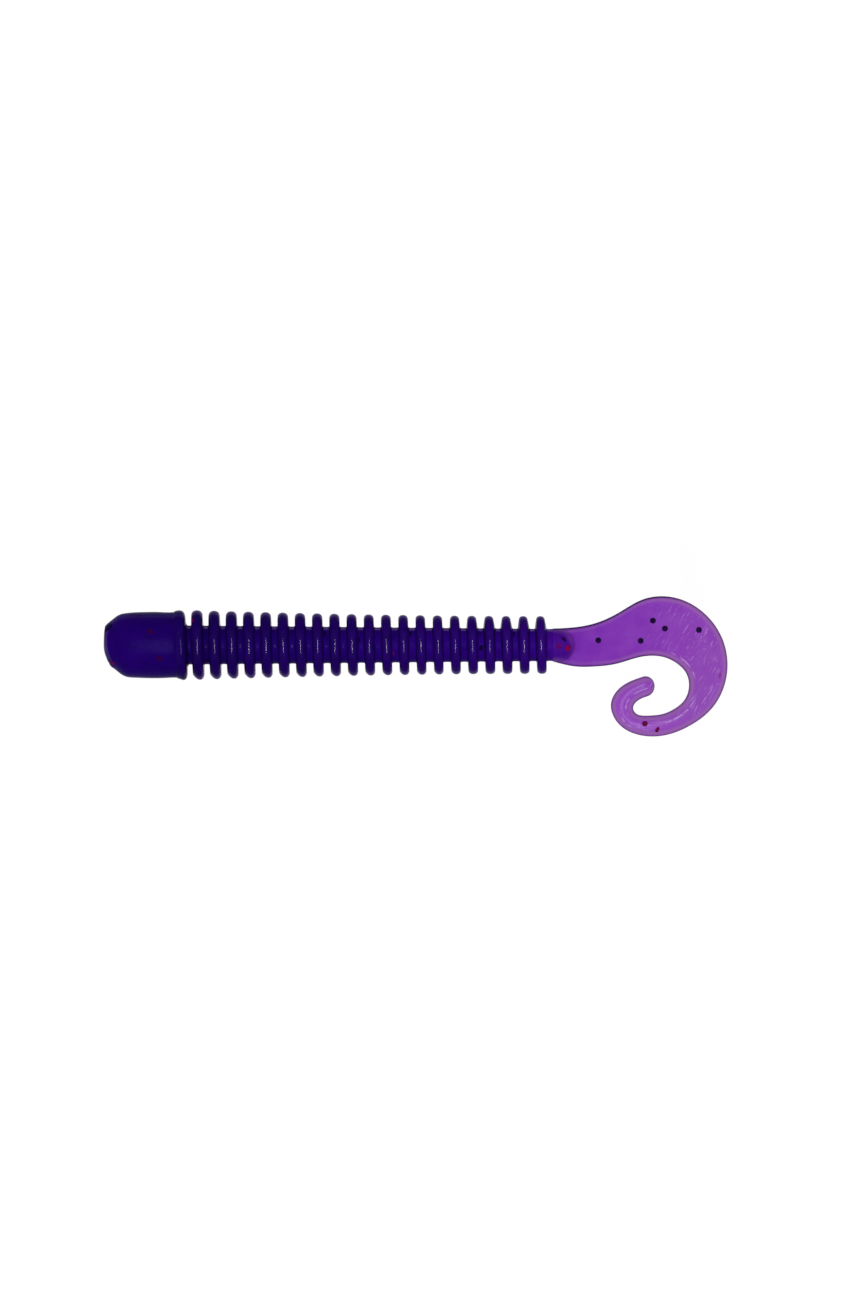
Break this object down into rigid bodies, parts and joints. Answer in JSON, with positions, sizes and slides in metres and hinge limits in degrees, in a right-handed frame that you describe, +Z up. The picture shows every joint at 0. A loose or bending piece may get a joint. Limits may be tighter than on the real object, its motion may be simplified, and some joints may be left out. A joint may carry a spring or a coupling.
{
  "type": "soft plastic worm",
  "caption": "Ring-bodied soft plastic fishing worm with a bullet head and a flat tail that curls back on itself.",
  "frame": {"origin": "middle of the flat nose face, on the core's axis", "axes": "+X along the core from the nose to the tail, +Y to the side that the tail's fan rises to, +Z square to the flat tail; the worm lies flat with +Z up"},
  "size_m": [0.0635, 0.0143, 0.007],
  "materials": {
    "body_plastisol": "glossy translucent dark purple plastisol",
    "tail_plastisol": "glossy translucent light purple plastisol",
    "black_glitter": "black glitter flake",
    "red_glitter": "dark red glitter flake"
  },
  "bodies": {
    "head": {"head": "body_plastisol", "flakes_head": "red_glitter", "web_01": "body_plastisol", "ring_01": "body_plastisol", "web_02": "body_plastisol"},
    "ring_02": {"ring_02": "body_plastisol", "web_03": "body_plastisol"},
    "ring_03": {"ring_03": "body_plastisol", "web_04": "body_plastisol"},
    "ring_04": {"ring_04": "body_plastisol", "web_05": "body_plastisol"},
    "ring_05": {"ring_05": "body_plastisol", "web_06": "body_plastisol"},
    "ring_06": {"ring_06": "body_plastisol", "web_07": "body_plastisol"},
    "ring_07": {"ring_07": "body_plastisol", "web_08": "body_plastisol"},
    "ring_08": {"ring_08": "body_plastisol", "web_09": "body_plastisol"},
    "ring_09": {"ring_09": "body_plastisol", "web_10": "body_plastisol"},
    "ring_10": {"ring_10": "body_plastisol", "web_11": "body_plastisol"},
    "ring_11": {"ring_11": "body_plastisol", "web_12": "body_plastisol"},
    "ring_12": {"ring_12": "body_plastisol", "web_13": "body_plastisol"},
    "ring_13": {"ring_13": "body_plastisol", "web_14": "body_plastisol"},
    "ring_14": {"ring_14": "body_plastisol", "web_15": "body_plastisol"},
    "ring_15": {"ring_15": "body_plastisol", "web_16": "body_plastisol"},
    "ring_16": {"ring_16": "body_plastisol", "web_17": "body_plastisol"},
    "ring_17": {"ring_17": "body_plastisol", "web_18": "body_plastisol"},
    "ring_18": {"ring_18": "body_plastisol", "web_19": "body_plastisol"},
    "ring_19": {"ring_19": "body_plastisol", "web_20": "body_plastisol"},
    "ring_20": {"ring_20": "body_plastisol", "web_21": "body_plastisol"},
    "ring_21": {"ring_21": "body_plastisol", "web_22": "body_plastisol"},
    "tail_root": {"tail_root": "body_plastisol", "flakes_root": "red_glitter", "tail_neck": "tail_plastisol"},
    "tail_blade": {"tail_blade": "tail_plastisol", "flakes_blade": "black_glitter", "fan_flex": "tail_plastisol"},
    "tail_bow": {"tail_bow": "tail_plastisol", "flakes_bow": "black_glitter", "bow_flex": "tail_plastisol"},
    "tail_arm": {"tail_arm": "tail_plastisol", "arm_flex": "tail_plastisol"},
    "tail_hook": {"tail_hook": "tail_plastisol", "flakes_hook": "red_glitter", "hook_flex": "tail_plastisol"},
    "tail_tip": {"tail_tip": "tail_plastisol"}
  },
  "joints": [
    {"name": "side_bend_02", "type": "hinge", "parent": "head", "child": "ring_02", "pos_m": [0.01047, 0, 0], "axis": [0, 0, 1], "range_deg": [-10, 10], "stiffness_Nm_per_rad": 0.0014, "deforming": ["web_02"]},
    {"name": "lift_bend_03", "type": "hinge", "parent": "ring_02", "child": "ring_03", "pos_m": [0.01222, 0, 0], "axis": [0, 1, 0], "range_deg": [-10, 10], "stiffness_Nm_per_rad": 0.0014, "deforming": ["web_03"]},
    {"name": "side_bend_04", "type": "hinge", "parent": "ring_03", "child": "ring_04", "pos_m": [0.01397, 0, 0], "axis": [0, 0, 1], "range_deg": [-10, 10], "stiffness_Nm_per_rad": 0.0014, "deforming": ["web_04"]},
    {"name": "lift_bend_05", "type": "hinge", "parent": "ring_04", "child": "ring_05", "pos_m": [0.01571, 0, 0], "axis": [0, 1, 0], "range_deg": [-10, 10], "stiffness_Nm_per_rad": 0.0014, "deforming": ["web_05"]},
    {"name": "side_bend_06", "type": "hinge", "parent": "ring_05", "child": "ring_06", "pos_m": [0.01746, 0, 0], "axis": [0, 0, 1], "range_deg": [-10, 10], "stiffness_Nm_per_rad": 0.0014, "deforming": ["web_06"]},
    {"name": "lift_bend_07", "type": "hinge", "parent": "ring_06", "child": "ring_07", "pos_m": [0.01921, 0, 0], "axis": [0, 1, 0], "range_deg": [-10, 10], "stiffness_Nm_per_rad": 0.0014, "deforming": ["web_07"]},
    {"name": "side_bend_08", "type": "hinge", "parent": "ring_07", "child": "ring_08", "pos_m": [0.02095, 0, 0], "axis": [0, 0, 1], "range_deg": [-10, 10], "stiffness_Nm_per_rad": 0.0014, "deforming": ["web_08"]},
    {"name": "lift_bend_09", "type": "hinge", "parent": "ring_08", "child": "ring_09", "pos_m": [0.0227, 0, 0], "axis": [0, 1, 0], "range_deg": [-10, 10], "stiffness_Nm_per_rad": 0.0014, "deforming": ["web_09"]},
    {"name": "side_bend_10", "type": "hinge", "parent": "ring_09", "child": "ring_10", "pos_m": [0.02445, 0, 0], "axis": [0, 0, 1], "range_deg": [-10, 10], "stiffness_Nm_per_rad": 0.0014, "deforming": ["web_10"]},
    {"name": "lift_bend_11", "type": "hinge", "parent": "ring_10", "child": "ring_11", "pos_m": [0.02619, 0, 0], "axis": [0, 1, 0], "range_deg": [-10, 10], "stiffness_Nm_per_rad": 0.0014, "deforming": ["web_11"]},
    {"name": "side_bend_12", "type": "hinge", "parent": "ring_11", "child": "ring_12", "pos_m": [0.02794, 0, 0], "axis": [0, 0, 1], "range_deg": [-10, 10], "stiffness_Nm_per_rad": 0.0014, "deforming": ["web_12"]},
    {"name": "lift_bend_13", "type": "hinge", "parent": "ring_12", "child": "ring_13", "pos_m": [0.02969, 0, 0], "axis": [0, 1, 0], "range_deg": [-10, 10], "stiffness_Nm_per_rad": 0.0014, "deforming": ["web_13"]},
    {"name": "side_bend_14", "type": "hinge", "parent": "ring_13", "child": "ring_14", "pos_m": [0.03144, 0, 0], "axis": [0, 0, 1], "range_deg": [-10, 10], "stiffness_Nm_per_rad": 0.0014, "deforming": ["web_14"]},
    {"name": "lift_bend_15", "type": "hinge", "parent": "ring_14", "child": "ring_15", "pos_m": [0.03318, 0, 0], "axis": [0, 1, 0], "range_deg": [-10, 10], "stiffness_Nm_per_rad": 0.0014, "deforming": ["web_15"]},
    {"name": "side_bend_16", "type": "hinge", "parent": "ring_15", "child": "ring_16", "pos_m": [0.03493, 0, 0], "axis": [0, 0, 1], "range_deg": [-10, 10], "stiffness_Nm_per_rad": 0.0014, "deforming": ["web_16"]},
    {"name": "lift_bend_17", "type": "hinge", "parent": "ring_16", "child": "ring_17", "pos_m": [0.03668, 0, 0], "axis": [0, 1, 0], "range_deg": [-10, 10], "stiffness_Nm_per_rad": 0.0014, "deforming": ["web_17"]},
    {"name": "side_bend_18", "type": "hinge", "parent": "ring_17", "child": "ring_18", "pos_m": [0.03842, 0, 0], "axis": [0, 0, 1], "range_deg": [-10, 10], "stiffness_Nm_per_rad": 0.0014, "deforming": ["web_18"]},
    {"name": "lift_bend_19", "type": "hinge", "parent": "ring_18", "child": "ring_19", "pos_m": [0.04017, 0, 0], "axis": [0, 1, 0], "range_deg": [-10, 10], "stiffness_Nm_per_rad": 0.0014, "deforming": ["web_19"]},
    {"name": "side_bend_20", "type": "hinge", "parent": "ring_19", "child": "ring_20", "pos_m": [0.04192, 0, 0], "axis": [0, 0, 1], "range_deg": [-10, 10], "stiffness_Nm_per_rad": 0.0014, "deforming": ["web_20"]},
    {"name": "lift_bend_21", "type": "hinge", "parent": "ring_20", "child": "ring_21", "pos_m": [0.04367, 0, 0], "axis": [0, 1, 0], "range_deg": [-10, 10], "stiffness_Nm_per_rad": 0.0014, "deforming": ["web_21"]},
    {"name": "side_bend_22", "type": "hinge", "parent": "ring_21", "child": "tail_root", "pos_m": [0.04536, 0, 0], "axis": [0, 0, 1], "range_deg": [-10, 10], "stiffness_Nm_per_rad": 0.0014, "deforming": ["web_22"]},
    {"name": "tail_swing", "type": "hinge", "parent": "tail_root", "child": "tail_blade", "pos_m": [0.04893, 0, 0], "axis": [0, 1, 0], "range_deg": [-46, 46], "stiffness_Nm_per_rad": 0.0001, "deforming": ["tail_neck"]},
    {"name": "fan_flutter", "type": "hinge", "parent": "tail_blade", "child": "tail_bow", "pos_m": [0.05872, 0.00124, 0], "axis": [0.3, 0.9539, 0], "range_deg": [-32.2, 32.2], "stiffness_Nm_per_rad": 0.0001, "deforming": ["fan_flex"]},
    {"name": "bow_unroll", "type": "hinge", "parent": "tail_bow", "child": "tail_arm", "pos_m": [0.06107, -0.00469, 0], "axis": [0, 0, 1], "range_deg": [-5, 25], "stiffness_Nm_per_rad": 0.0001, "deforming": ["bow_flex"]},
    {"name": "arm_unroll", "type": "hinge", "parent": "tail_arm", "child": "tail_hook", "pos_m": [0.05797, -0.00774, 0], "axis": [0, 0, 1], "range_deg": [-10, 50], "stiffness_Nm_per_rad": 0.00005, "deforming": ["arm_flex"]},
    {"name": "hook_unroll", "type": "hinge", "parent": "tail_hook", "child": "tail_tip", "pos_m": [0.05304, -0.00566, 0], "axis": [0, 0, 1], "range_deg": [-9, 45], "stiffness_Nm_per_rad": 0.00005, "deforming": ["hook_flex"]}
  ],
  "couplings": [
    {"joint": "side_bend_04", "follows": "side_bend_02", "ratio": 1},
    {"joint": "lift_bend_05", "follows": "lift_bend_03", "ratio": 1},
    {"joint": "side_bend_06", "follows": "side_bend_02", "ratio": 1},
    {"joint": "lift_bend_07", "follows": "lift_bend_03", "ratio": 1},
    {"joint": "side_bend_08", "follows": "side_bend_02", "ratio": 1},
    {"joint": "lift_bend_09", "follows": "lift_bend_03", "ratio": 1},
    {"joint": "side_bend_10", "follows": "side_bend_02", "ratio": 1},
    {"joint": "lift_bend_11", "follows": "lift_bend_03", "ratio": 1},
    {"joint": "side_bend_12", "follows": "side_bend_02", "ratio": 1},
    {"joint": "lift_bend_13", "follows": "lift_bend_03", "ratio": 1},
    {"joint": "side_bend_14", "follows": "side_bend_02", "ratio": 1},
    {"joint": "lift_bend_15", "follows": "lift_bend_03", "ratio": 1},
    {"joint": "side_bend_16", "follows": "side_bend_02", "ratio": 1},
    {"joint": "lift_bend_17", "follows": "lift_bend_03", "ratio": 1},
    {"joint": "side_bend_18", "follows": "side_bend_02", "ratio": 1},
    {"joint": "lift_bend_19", "follows": "lift_bend_03", "ratio": 1},
    {"joint": "side_bend_20", "follows": "side_bend_02", "ratio": 1},
    {"joint": "lift_bend_21", "follows": "lift_bend_03", "ratio": 1},
    {"joint": "side_bend_22", "follows": "side_bend_02", "ratio": 1},
    {"joint": "fan_flutter", "follows": "tail_swing", "ratio": 0.7},
    {"joint": "arm_unroll", "follows": "bow_unroll", "ratio": 2},
    {"joint": "hook_unroll", "follows": "bow_unroll", "ratio": 1.8}
  ]
}
